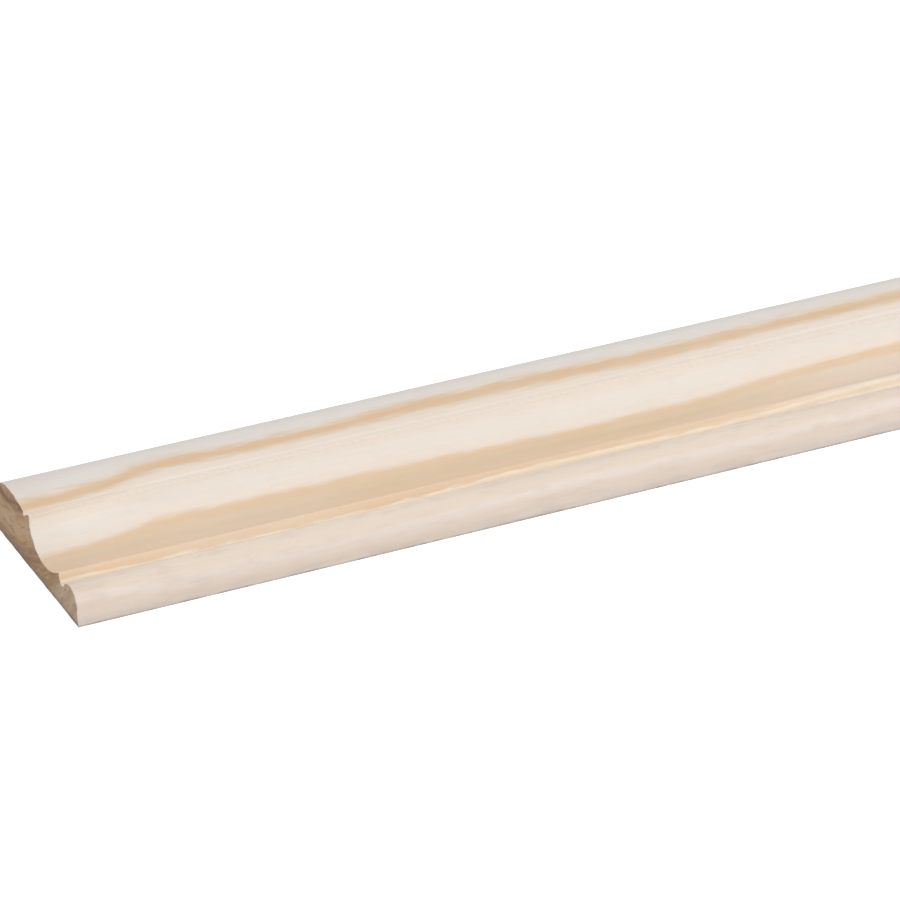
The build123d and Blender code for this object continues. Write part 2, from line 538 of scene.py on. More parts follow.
def section_runs():
    """The moulded face from the thin edge's foot to the thick edge's foot, as runs of
    points, each with the radius that softens the corner after it."""
    bead_centre = (EDGE_LEAN_IN + EDGE_BEAD_RADIUS, BEAD_CENTRE_UP)
    reach = math.hypot(*bead_centre)
    tangent_length = math.sqrt(reach**2 - EDGE_BEAD_RADIUS**2)
    lean = math.atan2(bead_centre[1], bead_centre[0]) + math.asin(EDGE_BEAD_RADIUS / reach)
    bead_start = (tangent_length * math.cos(lean), tangent_length * math.sin(lean))
    bead_end = (BEAD_END_ACROSS, LOW_QUIRK_UP)

    low_quirk_end = (BEAD_END_ACROSS + LOW_QUIRK_WIDTH, LOW_QUIRK_UP)
    low_lip_start = (LOW_LIP_START_ACROSS, LOW_LIP_UP)
    low_lip_end = (LOW_LIP_END_ACROSS, LOW_LIP_UP)
    cove_lowest = (COVE_LOWEST_ACROSS, COVE_FLOOR)
    near_centre, near_radius, near_half = round_between(low_lip_end, cove_lowest)

    far_centre = (COVE_LOWEST_ACROSS, HIGH_LIP_UP)
    high_lip_start = (HIGH_LIP_START_ACROSS, HIGH_LIP_UP)
    high_lip_end = (HIGH_LIP_END_ACROSS, HIGH_LIP_UP)
    high_quirk = (QUIRK_WALL_ACROSS, HIGH_LIP_UP - HIGH_QUIRK_DEPTH)
    broad_start = (QUIRK_WALL_ACROSS, high_quirk[1] + HIGH_QUIRK_WALL)
    crown = (STRIP_WIDTH - CROWN_INSET, STRIP_THICKNESS)
    broad_centre, broad_radius, broad_half = round_between(broad_start, crown)
    fall_centre = (crown[0], STRIP_THICKNESS - CROWN_FALL_RADIUS)
    fall = math.asin((CROWN_INSET - NOSE_RADIUS) / (CROWN_FALL_RADIUS - NOSE_RADIUS))
    nose_up = fall_centre[1] + (CROWN_FALL_RADIUS - NOSE_RADIUS) * math.cos(fall)
    nose_centre = (STRIP_WIDTH - NOSE_RADIUS, nose_up)

    quarter = math.pi / 2
    far_rise = HIGH_LIP_UP - COVE_FLOOR
    return [
        (straight((0, 0), bead_start), None),
        (turned(bead_centre, EDGE_BEAD_RADIUS, lean + quarter, BEAD_END_ANGLE), QUIRK_CORNER),
        (straight(bead_end, low_quirk_end), QUIRK_CORNER),
        (straight(low_quirk_end, low_lip_start), LIP_ARRIS),
        (straight(low_lip_start, low_lip_end), LIP_ARRIS),
        (turned(near_centre, near_radius, -quarter - near_half, -quarter), None),
        (turned(far_centre, COVE_FAR_RUN, -quarter, 0, far_rise), LIP_ARRIS),
        (straight(high_lip_start, high_lip_end), LIP_ARRIS),
        (straight(high_lip_end, high_quirk), QUIRK_CORNER),
        (straight(high_quirk, broad_start), LIP_ARRIS),
        (turned(broad_centre, broad_radius, quarter + broad_half, quarter), None),
        (turned(fall_centre, CROWN_FALL_RADIUS, quarter, quarter - fall), None),
        (turned(nose_centre, NOSE_RADIUS, quarter - fall, 0), None),
        (straight((STRIP_WIDTH, nose_up), (STRIP_WIDTH, 0)), None),
    ]


def section_outline():
    """Every point of the moulded face in order, each with a mark of 1 on an arris."""
    runs = section_runs()
    points = []
    current = runs[0][0]
    first_mark = 0.0
    for (_, radius), (following, _) in zip(runs, runs[1:]):
        if radius is None:
            left, rounded, after = current[:-1], [], following
        else:
            left, rounded, after = softened(current, following, radius)
        mark = 1.0 if radius == LIP_ARRIS else 0.0
        points += [(point, 0.0 if index else first_mark) for index, point in enumerate(left)]
        points += [(point, mark) for point in rounded]
        current = after
        first_mark = mark
    points += [(point, 0.0) for point in current]
    return points


def section_mesh():
    """The outline as a mesh line, which keeps the girth and the arris mark of each point."""
    points = section_outline()
    places = [(0.0, point.x - STRIP_WIDTH / 2, point.y) for point, _ in points]
    mesh = bpy.data.meshes.new("section")
    mesh.from_pydata(places, [(i, i + 1) for i in range(len(places) - 1)], [])
    girth = mesh.attributes.new("girth", "FLOAT", "POINT")
    arris = mesh.attributes.new("arris", "FLOAT", "POINT")
    total = 0.0
    for index, (point, mark) in enumerate(points):
        if index:
            total += (point - points[index - 1][0]).length
        girth.data[index].value = total
        arris.data[index].value = mark
    return mesh, total


# The geometry tree that draws the section out to a strip

# How far an end's ruled lines follow the girth, not only the width
CAP_LEAN = 0.04
SHARP_ANGLE = math.radians(38)
# The distance between two cuts of the planer's knives, and how far from an end the saw has
# torn the lips, in millimetres; elsewhere they have lost only this share of as much
RIPPLE_PITCH = 4.8
CHIP_REACH = 5.0
CHIP_ELSEWHERE = 0.03
# The lowest part of an end, which stays sharp, in millimetres, and the share of its wear
# that is left at the very foot
FOOT_GUARD = 1.5
FOOT_WEAR = 0.30
# The least and the most that an end's arris is worn, as shares of its size
LEAST_WEAR = 0.15
MOST_WEAR = 0.95
# How near two points of a seam lie, and how near an end a point has to lie to be on it
SEAM_REACH = 0.002 * MM
END_REACH = 0.001 * MM
TREE_SIZES = {
    "Length": STRIP_LENGTH,
    "Width": STRIP_WIDTH,
    "Crowding": STATION_CROWDING,
    "End Arris": 0.34 * MM,
    "Early Wood Sink": 0.035 * MM,
    "Planer Ripple": 0.006 * MM,
    "Lip Chips": 0.22 * MM,
    "Saw Depth": 0.16 * MM,
    "Fuzz Depth": 0.07 * MM,
    "Tear Depth": 0.14 * MM,
}
TREE_COUNTS = {"Stations": STATIONS, "Back Columns": BACK_COLUMNS, "Cap Rows": CAP_ROWS}
TREE_MATERIALS = ("Planed Wood", "Sawn Wood")

# The bake map: three lengths of the unrolled strip one above the other, then both ends
MAP_SPAN = 376 * MM
MAP_LENGTHS = 3
MAP_MARGIN = 5 * MM
MAP_GAP = 1.5 * MM


def grid_places(sheet, rows, columns):
    """A grid's mesh, and the row and column of each of its points."""
    grid = sheet.add("GeometryNodeMeshGrid", {"Vertices X": rows, "Vertices Y": columns})
    index = sheet.add("GeometryNodeInputIndex").outputs[0]
    row = sheet.math("FLOOR", sheet.divided(sheet.plus(index, 0.5), columns))
    column = sheet.minus(index, sheet.times(row, columns))
    return grid.outputs[0], row, column


def sampled(sheet, source, value, column, kind):
    """What the section holds at one of its points."""
    node = sheet.add("GeometryNodeSampleIndex", data_type=kind, domain="POINT")
    sheet.feed(node.inputs["Geometry"], source)
    sheet.feed(node.inputs["Value"], value)
    sheet.feed(node.inputs["Index"], column)
    return node.outputs[0]


def named_value(sheet, name):
    """What the mesh holds under a name."""
    return sheet.add("GeometryNodeInputNamedAttribute", {"Name": name}).outputs[0]


def section_grid(sheet, section, rows):
    """A grid with a column for each point of the section, and its rows and columns."""
    points = sheet.add("GeometryNodeAttributeDomainSize", {0: section}).outputs[0]
    return grid_places(sheet, rows, points)


def outline_place(sheet, section, column):
    """Where a column's point of the section is, across and up, and its girth."""
    outline = sampled(sheet, section, sheet.position(), column, "FLOAT_VECTOR")
    girth = sampled(sheet, section, named_value(sheet, "girth"), column, "FLOAT")
    return *sheet.split(outline)[1:], girth


def placed(sheet, mesh, place):
    """The mesh with each point moved to its place."""
    inputs = {"Geometry": mesh, "Position": place}
    return sheet.add("GeometryNodeSetPosition", inputs).outputs[0]


def stored(sheet, mesh, name, value, kind="FLOAT", domain="POINT"):
    """The mesh with a value kept under a name."""
    node = sheet.add("GeometryNodeStoreNamedAttribute", data_type=kind, domain=domain)
    sheet.feed(node.inputs["Geometry"], mesh)
    sheet.feed(node.inputs["Name"], name)
    sheet.feed(node.inputs["Value"], value)
    return node.outputs[0]


def flipped(sheet, mesh):
    """The mesh with its faces turned round."""
    return sheet.add("GeometryNodeFlipFaces", {"Mesh": mesh}).outputs[0]


def painted(sheet, mesh, material, where=True):
    """The mesh with one material, all over or where it says."""
    inputs = {"Geometry": mesh, "Selection": where, "Material": material}
    return sheet.add("GeometryNodeSetMaterial", inputs).outputs[0]


def station_place(sheet, row, sizes):
    """Where a station lies along the strip, and a mark of 1 on the outermost ones. Stations
    crowd towards both ends, and the outermost two of each end bound its softened arris."""
    last = sheet.minus(sizes["Stations"], 1.0)
    first_inner = sheet.minus(row, 1.0)
    share = sheet.spread(first_inner, 0.0, sheet.minus(last, 2.0), 0.0, 1.0)
    wave = sheet.math("SINE", sheet.times(share, 2 * math.pi))
    pull = sheet.times(wave, sheet.divided(sizes["Crowding"], 2 * math.pi))
    eased = sheet.minus(sheet.minus(share, pull), 0.5)
    inner_length = sheet.minus(sizes["Length"], sheet.times(sizes["End Arris"], 2.0))
    inner = sheet.times(eased, inner_length)
    at_start = sheet.math("LESS_THAN", row, 0.5)
    at_end = sheet.math("GREATER_THAN", row, sheet.minus(last, 0.5))
    outward = sheet.times(sheet.minus(at_end, at_start), sizes["End Arris"])
    return sheet.plus(inner, outward), sheet.plus(at_start, at_end)


def map_row(face_girth):
    """How high one unrolled length is on the bake map, with the gaps round its faces."""
    return face_girth + STRIP_WIDTH + 3 * MAP_GAP


def mapped(sheet, mesh, u, v):
    """The mesh with its corners' places on the bake map, given in metres."""
    place = sheet.joined(sheet.divided(u, MAP_SPAN), sheet.divided(v, MAP_SPAN), 0.0)
    return stored(sheet, mesh, "OFBake", place, "FLOAT2", "CORNER")


def unrolled(sheet, mesh, first_girth, face_girth):
    """One of the long faces with its bake map, by the third of the length that each face
    lies in. The mesh is already placed and holds its girth."""
    lengths = float(MAP_LENGTHS)
    along = sheet.split(sheet.position())[0]
    share = sheet.plus(sheet.divided(along, STRIP_LENGTH), 0.5)
    middle = sheet.add("GeometryNodeFieldOnDomain", {0: share}, domain="FACE").outputs[0]
    third = sheet.math("FLOOR", sheet.times(middle, lengths))
    third = sheet.math("MINIMUM", sheet.math("MAXIMUM", third, 0.0), lengths - 1)
    from_third = sheet.times(sheet.minus(share, sheet.divided(third, lengths)), STRIP_LENGTH)
    lower = sheet.times(third, map_row(face_girth))
    v = sheet.plus(lower, named_value(sheet, "girth"), first_girth)
    return mapped(sheet, mesh, sheet.plus(from_third, MAP_MARGIN), v)


def long_face(sheet, section, sizes, face_girth):
    """The moulded face, from the thin edge's foot over the crown to the thick edge's."""
    mesh, row, column = section_grid(sheet, section, sizes["Stations"])
    along, rim = station_place(sheet, row, sizes)
    across, up, girth = outline_place(sheet, section, column)
    arris = sampled(sheet, section, named_value(sheet, "arris"), column, "FLOAT")
    mesh = stored(sheet, mesh, "rim", rim)
    mesh = stored(sheet, mesh, "arris", arris)
    mesh = stored(sheet, mesh, "girth", girth)
    mesh = placed(sheet, mesh, sheet.joined(along, across, up))
    return unrolled(sheet, mesh, MAP_GAP, face_girth)


def flat_back(sheet, sizes, face_girth):
    """The flat back, which shares the feet of the moulded face."""
    mesh, row, column = grid_places(sheet, sizes["Stations"], sizes["Back Columns"])
    along, rim = station_place(sheet, row, sizes)
    share = sheet.divided(column, sheet.minus(sizes["Back Columns"], 1.0))
    across = sheet.times(sheet.minus(share, 0.5), sizes["Width"])
    mesh = stored(sheet, mesh, "rim", rim)
    mesh = stored(sheet, mesh, "girth", sheet.times(share, sizes["Width"]))
    mesh = placed(sheet, mesh, sheet.joined(along, across, 0.0))
    return flipped(sheet, unrolled(sheet, mesh, face_girth + 2 * MAP_GAP, face_girth))


def sawn_end(sheet, section, sizes, side, face_girth):
    """One end, ruled between the outline above and the back's columns below. Side is -1
    for the end that starts the strip and 1 for the one that finishes it."""
    mesh, row, column = section_grid(sheet, section, sizes["Cap Rows"])
    across, up, girth = outline_place(sheet, section, column)
    above = sheet.plus(sheet.divided(across, sizes["Width"]), 0.5)
    foot = sheet.mix(CAP_LEAN, above, sheet.divided(girth, face_girth))
    intervals = sheet.minus(sizes["Back Columns"], 1.0)
    snapped = sheet.divided(sheet.math("ROUND", sheet.times(foot, intervals)), intervals)
    lowest_row = sheet.math("LESS_THAN", row, 0.5)
    top_row = sheet.math("GREATER_THAN", row, sheet.minus(sizes["Cap Rows"], 1.5))
    foot = sheet.mix(lowest_row, foot, snapped)
    height = sheet.divided(row, sheet.minus(sizes["Cap Rows"], 1.0))
    foot_across = sheet.times(sheet.minus(foot, 0.5), sizes["Width"])
    here_across = sheet.mix(height, foot_across, across)
    here_up = sheet.times(height, up)
    along = sheet.times(sizes["Length"], side / 2)
    mesh = stored(sheet, mesh, "rim", sheet.plus(lowest_row, top_row))
    mesh = placed(sheet, mesh, sheet.joined(along, here_across, here_up))
    corner = sheet.split(sheet.position())
    map_left = MAP_MARGIN + (STRIP_WIDTH + MAP_MARGIN) * (side + 1) / 2
    map_low = MAP_LENGTHS * map_row(face_girth) + MAP_GAP
    map_u = sheet.plus(corner[1], map_left + STRIP_WIDTH / 2)
    mesh = mapped(sheet, mesh, map_u, sheet.plus(corner[2], map_low))
    mesh = stored(sheet, mesh, "sawn", 1.0, domain="FACE")
    return flipped(sheet, mesh) if side > 0 else mesh


def planed_relief(sheet, place_mm, sizes):
    """How far a planed face sinks at a place: pale wood lies lower than dark rings, the
    knives left a faint ripple, and the lips have lost small chips."""
    rings = growth_rings(sheet, place_mm)
    pale = sheet.minus(1.0, rings["Darkness"])
    sink = sheet.times(pale, sizes["Early Wood Sink"])
    along = sheet.split(place_mm)[0]
    knife = sheet.math("SINE", sheet.times(along, 2 * math.pi / RIPPLE_PITCH))
    ripple = sheet.times(sheet.plus(knife, 1.0), sizes["Planer Ripple"])
    chip_noise = sheet.ramp(sheet.clouds(place_mm, CHIP_CLOUDS, detail=3.0), 0.50, 0.70)
    torn = sheet.ramp(from_nearer_end(sheet, along), 0.0, CHIP_REACH, 1.0, CHIP_ELSEWHERE)
    chips = sheet.times(chip_noise, torn, sizes["Lip Chips"], named_value(sheet, "arris"))
    return sheet.plus(sink, ripple, chips)


def sawn_relief(sheet, place_mm, sizes):
    """How far a sawn end sinks at a place, from the blade's marks and the torn fibres."""
    marks = sheet.times(saw_marks(sheet, place_mm), sizes["Saw Depth"])
    fuzz = sheet.times(sheet.clouds(place_mm, FUZZ_CLOUDS), sizes["Fuzz Depth"])
    tears = sheet.times(torn_fibres(sheet, place_mm), sizes["Tear Depth"])
    return sheet.plus(marks, fuzz, tears)


def strip_tree(face_girth):
    """Builds the tree with its named inputs, and gives it with their identifiers."""
    tree = bpy.data.node_groups.new("Moulding strip", "GeometryNodeTree")
    tree.is_modifier = True
    tree.interface.new_socket("Section", in_out="INPUT", socket_type="NodeSocketGeometry")
    tree.interface.new_socket("Strip", in_out="OUTPUT", socket_type="NodeSocketGeometry")
    names = {}
    kinds = {"Float": TREE_SIZES, "Int": TREE_COUNTS, "Material": TREE_MATERIALS}
    for kind, group in kinds.items():
        for name in group:
            socket = tree.interface.new_socket(
                name, in_out="INPUT", socket_type="NodeSocket" + kind
            )
            names[name] = socket.identifier
    sheet = NodeSheet(tree)
    entry = sheet.add("NodeGroupInput")
    section = entry.outputs["Section"]
    sizes = {name: entry.outputs[name] for name in names}

    whole = sheet.add("GeometryNodeJoinGeometry")
    parts = [
        long_face(sheet, section, sizes, face_girth),
        flat_back(sheet, sizes, face_girth),
        sawn_end(sheet, section, sizes, -1, face_girth),
        sawn_end(sheet, section, sizes, 1, face_girth),
    ]
    for part in parts:
        tree.links.new(part, whole.inputs[0])
    seam = {"Geometry": whole.outputs[0], "Distance": SEAM_REACH}
    closed = sheet.add("GeometryNodeMergeByDistance", seam).outputs[0]

    place_mm = in_millimetres(sheet, sheet.position())
    along = sheet.split(sheet.position())[0]
    half = sheet.divided(sizes["Length"], 2.0)
    edge = sheet.minus(half, END_REACH)
    on_end = sheet.math("GREATER_THAN", sheet.math("ABSOLUTE", along), edge)
    normal = sheet.add("GeometryNodeInputNormal").outputs[0]
    rim = named_value(sheet, "rim")
    wear_noise = sheet.clouds(place_mm, WEAR_CLOUDS, detail=3.0)
    wear = sheet.ramp(wear_noise, 0.40, 0.66, LEAST_WEAR, MOST_WEAR)
    guarded = sheet.ramp(sheet.split(place_mm)[2], 0.0, FOOT_GUARD, FOOT_WEAR, 1.0)
    rim_sink = sheet.times(rim, wear, guarded, sizes["End Arris"])
    face_sink = sheet.times(planed_relief(sheet, place_mm, sizes), sheet.minus(1.0, on_end))
    sink = sheet.plus(rim_sink, face_sink)
    inward = sheet.add("ShaderNodeVectorMath", {0: normal, 3: sheet.times(sink, -1.0)})
    inward.operation = "SCALE"
    toward_middle = sheet.times(sheet.math("SIGN", along), -1.0)
    cut = sheet.times(sawn_relief(sheet, place_mm, sizes), on_end, toward_middle)
    offset = sheet.vector("ADD", inward.outputs[0], sheet.joined(cut, 0.0, 0.0))
    inputs = {"Geometry": closed, "Offset": offset}
    shaped = sheet.add("GeometryNodeSetPosition", inputs).outputs[0]

    angle = sheet.add("GeometryNodeInputMeshEdgeAngle").outputs[0]
    gentle = sheet.math("LESS_THAN", angle, SHARP_ANGLE)
    smooth = sheet.add("GeometryNodeSetShadeSmooth", domain="EDGE")
    sheet.feed(smooth.inputs["Geometry"], shaped)
    sheet.feed(smooth.inputs["Shade Smooth"], gentle)
    real = sheet.add("GeometryNodeRealizeInstances", {0: smooth.outputs[0]}).outputs[0]
    planed = painted(sheet, real, sizes["Planed Wood"])
    both = painted(sheet, planed, sizes["Sawn Wood"], named_value(sheet, "sawn"))
    sheet.add("NodeGroupOutput", {"Strip": both})
    return tree, names


def moulding(planed, sawn):
    """The whole strip as one closed mesh, without the empty first slot of the grids."""
    mesh, face_girth = section_mesh()
    mesh.materials.append(planed)
    mesh.materials.append(sawn)
    strip = in_scene("moulding", mesh)
    tree, names = strip_tree(face_girth)
    modifier = strip.modifiers.new("Moulding strip", "NODES")
    modifier.node_group = tree
    values = {**TREE_SIZES, **TREE_COUNTS, "Planed Wood": planed, "Sawn Wood": sawn}
    for name, value in values.items():
        modifier[names[name]] = value
    bpy.context.view_layer.update()
    graph = bpy.context.evaluated_depsgraph_get()
    finished = bpy.data.meshes.new_from_object(strip.evaluated_get(graph))
    strip.modifiers.remove(modifier)
    strip.data = finished
    finished.name = "moulding"
    finished.materials.pop(index=0)
    bpy.data.meshes.remove(mesh)
    return strip


# The two wood materials, and the effects that both use

def shader_group(name, sizes, outputs):
    """A shader group that reads a place and its sizes: its tree, its sheet, the place in
    millimetres, and where it takes its sizes and leaves its outputs."""
    tree = bpy.data.node_groups.new(name, "ShaderNodeTree")
    face = tree.interface
    face.new_socket("Place", in_out="INPUT", socket_type="NodeSocketVector")
    for label, value in sizes.items():
        socket = face.new_socket(label, in_out="INPUT", socket_type="NodeSocketFloat")
        socket.default_value = value
    for label in outputs:
        face.new_socket(label, in_out="OUTPUT", socket_type="NodeSocketFloat")
    sheet = NodeSheet(tree)
    entry = sheet.add("NodeGroupInput").outputs
    leave = sheet.add("NodeGroupOutput").inputs
    return tree, sheet, in_millimetres(sheet, entry["Place"]), entry, leave


# How clouds and fine lines weaken and strengthen the dark wood, from the least to the most
CLOUDED = (0.90, 1.06)
PLANED_LINED = (0.84, 1.12)
SAWN_LINED = (0.70, 1.20)
# How rough the planed and the sawn wood are, and the strength and depth of their relief
PALE_ROUGHNESS = 0.66
DARK_ROUGHNESS = 0.54
ROUGHNESS_CHANGE = (-0.04, 0.05)
SAWN_ROUGHNESS = (0.82, 0.95)
PLANED_BUMP = 0.18
PLANED_BUMP_DEPTH = 0.05 * MM
SAWN_BUMP = 0.7
SAWN_BUMP_DEPTH = 0.15 * MM
# How far the back's relief reaches up from the floor, in millimetres
BACK_RELIEF = 0.05
# How much the fine lines, the fibres and the saw's dust show on the planed faces, and how
# far from a sawn end the dust lies thick and lies at all, in millimetres
LINE_SHARE = 0.10
FIBRE_SHARE = 0.06
DUST_SHARE = 0.10
DUST_FULL = 2.0
DUST_REACH = 12.0
# How much the effects of the sawn ends show
RESIN_SHARE = 0.95
MARK_SHARE = 0.18
FUZZ_SHARE = 0.45
PORE_SHARE = 0.32
TORN_SHARE = 0.55
# How pinkish the clouds are near the pith and far from it, and where that changes, in
# millimetres from the pith
BLUSH_NEAR = 0.10
BLUSH_FAR = 0.32
BLUSH_CHANGES = (47.0, 51.0)
# How much the painted light on the lips shows, and its reach in millimetres: the softness
# of its edges, the part of the high quirk's slope next to its wall that keeps its colour,
# how far into the cove beside the low lip it reaches, from where on along the strip, and
# the height below which none is painted. It pales the high quirk's wall and the cove beside
# the low lip, which lie in shade, and warms the high lip against the cool shade there.
WALL_SHARE = 0.55
WARM_SHARE = 0.20
LOW_LIP_LIGHT_SHARE = 0.40
LIGHT_EDGE = 0.20
LIGHT_INSET = 0.05
SLOPE_KEEPS = (2.1, 1.5)
LOW_LIP_LIGHT_REACH = (1.0, 3.0)
LOW_LIP_LIGHT_FROM = (70.0, 130.0)
BACK_KEEPS = (1.0, 3.0)


def growth_ring_group():
    """Year rings round the pith, the same ones that the mesh's relief follows."""
    outputs = ("Darkness", "Amber", "Lines", "Radius")
    tree, sheet, place_mm, _, leave = shader_group("Growth rings", {}, outputs)
    for name, value in growth_rings(sheet, place_mm).items():
        sheet.feed(leave[name], value)
    return tree


def wood_fibre_group():
    """Long fibres along the tree, and the small dark dashes of its resin ducts."""
    sizes = {"Fibres per mm": 5.0, "Fibre Stretch": 0.04, "Duct Share": 0.3}
    outputs = ("Fibre", "Ducts", "Clouds", "Patches")
    tree, sheet, place_mm, entry, leave = shader_group("Wood fibre", sizes, outputs)
    along, across, up = sheet.split(place_mm)
    close = entry["Fibres per mm"]
    far = sheet.times(close, entry["Fibre Stretch"])
    fibre_place = sheet.joined(
        sheet.times(along, far), sheet.times(across, close), sheet.times(up, close)
    )
    sheet.feed(leave["Fibre"], sheet.noise(fibre_place, detail=3.0, roughness=0.6))
    ducts = sheet.ramp(sheet.clouds(place_mm, DUCT_CLOUDS, detail=1.0), 0.70, 0.80)
    sheet.feed(leave["Ducts"], sheet.times(ducts, entry["Duct Share"]))
    sheet.feed(leave["Clouds"], sheet.clouds(place_mm, BROAD_CLOUDS, detail=3.0))
    patches = sheet.clouds(place_mm, PATCH_CLOUDS, detail=4.0, roughness=0.6)
    sheet.feed(leave["Patches"], patches)
    return tree


def painted_foot_shade_group():
    """Painted shade: the lowest millimetres of the wood darken towards the foot."""
    sizes = {"Reach mm": 2.0, "Foot mm": 0.5, "Strength": 0.5}
    outputs = ("Lower Shade", "Foot")
    tree, sheet, place_mm, entry, leave = shader_group("Painted foot shade", sizes, outputs)
    up = sheet.split(place_mm)[2]
    off_back = sheet.ramp(up, BACK_RELIEF, 2 * BACK_RELIEF)
    shade_noise = sheet.clouds(place_mm, LOWER_SHADE_CLOUDS, detail=4.0)
    patches = sheet.times(sheet.spread(shade_noise, *NOISE_RANGE, 0.5, 1.0), off_back)
    near = sheet.ramp(up, 0.0, entry["Reach mm"], 1.0, 0.0)
    # painted shade that fades out upward over the reach, darker towards the foot
    sheet.feed(leave["Lower Shade"], sheet.times(near, patches, entry["Strength"]))
    # a painted dark line of contact shade at the very foot, patchy along the strip
    foot = sheet.ramp(up, BACK_RELIEF, entry["Foot mm"], 1.0, 0.0)
    foot_line_noise = sheet.clouds(place_mm, FOOT_LINE_CLOUDS, detail=3.0)
    foot_line_patches = sheet.spread(foot_line_noise, 0.35, 0.65, 0.30, 0.95)
    sheet.feed(leave["Foot"], sheet.times(foot, foot_line_patches, off_back))
    return tree


def group_use(sheet, tree, **values):
    """Places a group, with its inputs given by name, with _ for a space."""
    node = sheet.add("ShaderNodeGroup", node_tree=tree)
    for name, value in values.items():
        sheet.feed(node.inputs[name.replace("_", " ")], value)
    return node.outputs


def new_material(name):
    """A material with one shader, its sheet, its shader's inputs and the place it reads."""
    material = bpy.data.materials.new(name)
    sheet = blank_sheet(material)
    shader = sheet.add("ShaderNodeBsdfPrincipled")
    finish = sheet.add("ShaderNodeOutputMaterial")
    material.node_tree.links.new(shader.outputs[0], finish.inputs["Surface"])
    place = sheet.add("ShaderNodeTexCoord").outputs["Object"]
    return material, sheet, shader.inputs, place


def roughen(sheet, shader, height, strength, depth):
    """Gives a shader fine relief from a pattern, of a strength and a depth in metres."""
    bump = sheet.add("ShaderNodeBump", {"Height": height, "Strength": strength})
    bump.inputs["Distance"].default_value = depth
    sheet.feed(shader["Normal"], bump.outputs[0])


def planed_colour(sheet, rings, fibre):
    """The colour of clean planed wood, from its rings, lines, fibres and ducts."""
    faded = sheet.spread(fibre["Clouds"], *NOISE_RANGE, *CLOUDED)
    lined = sheet.spread(rings["Lines"], *LINE_RANGE, *PLANED_LINED)
    darkness = sheet.times(rings["Darkness"], faded, lined)
    late = sheet.tint(rings["Amber"], sheet.shades(rings["Radius"], LATE_WOOD), AMBER_WOOD)
    blush_limit = sheet.ramp(rings["Radius"], *BLUSH_CHANGES, BLUSH_NEAR, BLUSH_FAR)
    return sheet.layered(
        sheet.shades(rings["Radius"], PALE_WOOD),
        (darkness, late),
        (sheet.times(sheet.ramp(fibre["Patches"], 0.46, 0.72), blush_limit), BLUSH),
        (sheet.spread(rings["Lines"], 0.35, 0.75, 0.0, LINE_SHARE), LINE_WOOD),
        (sheet.spread(fibre["Fibre"], 0.30, 0.75, 0.0, FIBRE_SHARE), FIBRE_BROWN),
        (fibre["Ducts"], FIBRE_BROWN),
    )


def lips_painted_light(sheet, place_mm, colour):
    """Painted light on the shaded high quirk wall, high lip and cove beside the low lip."""
    along, across, up = sheet.split(place_mm)
    above_back = sheet.ramp(up, *BACK_KEEPS)
    wall = QUIRK_WALL_ACROSS / MM
    wall_full = wall - LIGHT_INSET
    at_wall = sheet.between(across, wall_full - LIGHT_EDGE, wall_full, wall, wall + LIGHT_EDGE)

    top_full = HIGH_LIP_UP / MM - LIGHT_INSET
    on_lip = sheet.ramp(up, top_full - LIGHT_EDGE, top_full)
    keeps_from, keeps_all = SLOPE_KEEPS
    before_quirk = sheet.ramp(across, wall - keeps_from, wall - keeps_all, 1.0, 0.0)

    lip = LOW_LIP_END_ACROSS / MM
    fades, gone = LOW_LIP_LIGHT_REACH
    past_lip = sheet.between(across, lip - LIGHT_EDGE, lip, lip + fades, lip + gone)
    further_on = sheet.ramp(along, *LOW_LIP_LIGHT_FROM)
    return sheet.layered(
        colour,
        # painted light on the high quirk's wall, which lies in shade
        (sheet.times(at_wall, WALL_SHARE, above_back), QUIRK_WALL_LIGHT),
        # painted warmth on the high lip, against the cool shade of the sky
        (sheet.times(on_lip, before_quirk, WARM_SHARE), HIGH_LIP_WARM_LIGHT),
        # painted light on the cove beside the low lip, which lies in shade
        (sheet.times(past_lip, further_on, above_back, LOW_LIP_LIGHT_SHARE), LOW_LIP_LIGHT),
    )


def planed_pine(rings_tree, fibre_tree, edge_tree):
    """Raw planed pine: pale early wood, tan and amber late wood, matt and dry."""
    material, sheet, shader, place = new_material("planed_pine")
    rings = group_use(sheet, rings_tree, Place=place)
    fibre = group_use(sheet, fibre_tree, Place=place, Fibres_per_mm=4.5, Duct_Share=0.20)
    edges = group_use(
        sheet, edge_tree, Place=place, Reach_mm=3.6, Foot_mm=0.55, Strength=0.46
    )

    place_mm = in_millimetres(sheet, place)
    from_end = from_nearer_end(sheet, sheet.split(place_mm)[0])
    colour = sheet.layered(
        lips_painted_light(sheet, place_mm, planed_colour(sheet, rings, fibre)),
        (sheet.ramp(from_end, DUST_FULL, DUST_REACH, DUST_SHARE, 0.0), FIBRE_BROWN),
        # painted shade, darker towards the foot
        (edges["Lower Shade"], EDGE_SHADE),
        (edges["Foot"], FOOT_SHADE),
    )
    sheet.feed(shader["Base Color"], colour)

    roughness = sheet.spread(rings["Darkness"], 0.0, 1.0, PALE_ROUGHNESS, DARK_ROUGHNESS)
    uneven = sheet.spread(fibre["Fibre"], *NOISE_RANGE, *ROUGHNESS_CHANGE)
    sheet.feed(shader["Roughness"], sheet.plus(roughness, uneven))

    height = sheet.plus(sheet.times(fibre["Fibre"], 0.6), sheet.times(rings["Lines"], 0.4))
    roughen(sheet, shader, height, PLANED_BUMP, PLANED_BUMP_DEPTH)
    return material


